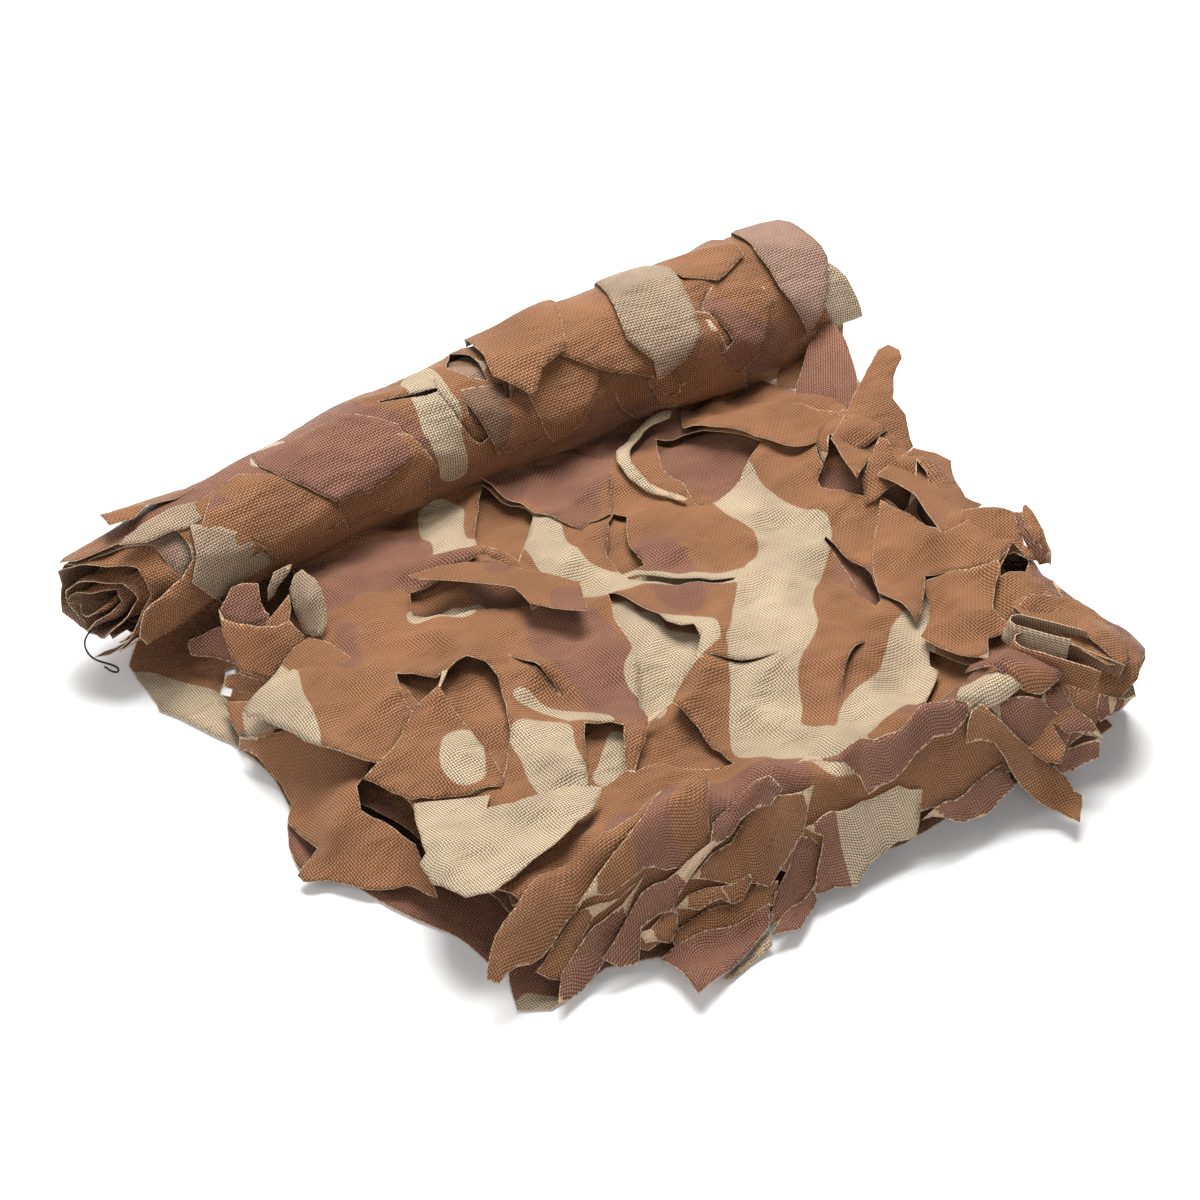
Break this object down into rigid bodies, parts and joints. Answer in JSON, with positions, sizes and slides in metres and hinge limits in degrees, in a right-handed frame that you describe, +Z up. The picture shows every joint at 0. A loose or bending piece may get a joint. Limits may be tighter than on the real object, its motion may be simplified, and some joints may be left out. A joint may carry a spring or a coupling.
{
  "type": "camouflage net",
  "caption": "Leaf-cut cloth camouflage net, folded lengthwise into plies and half rolled, with its loose end lying heaped in front of the roll.",
  "frame": {"origin": "on the underside of the bottom ply, about the middle of the plan, on the surface that the net lies on", "axes": "+Z up, X along the roll, the loose end lies towards -Y and the roll is at +Y"},
  "size_m": [0.4012, 0.3775, 0.0854],
  "materials": {
    "camouflage_cloth": "coated woven polyester, matt with a slight sheen, printed in tan and two browns",
    "black_thread": "fine twisted black thread"
  },
  "bodies": {
    "root": {"net": "camouflage_cloth", "thread_end": "black_thread"}
  },
  "joints": []
}
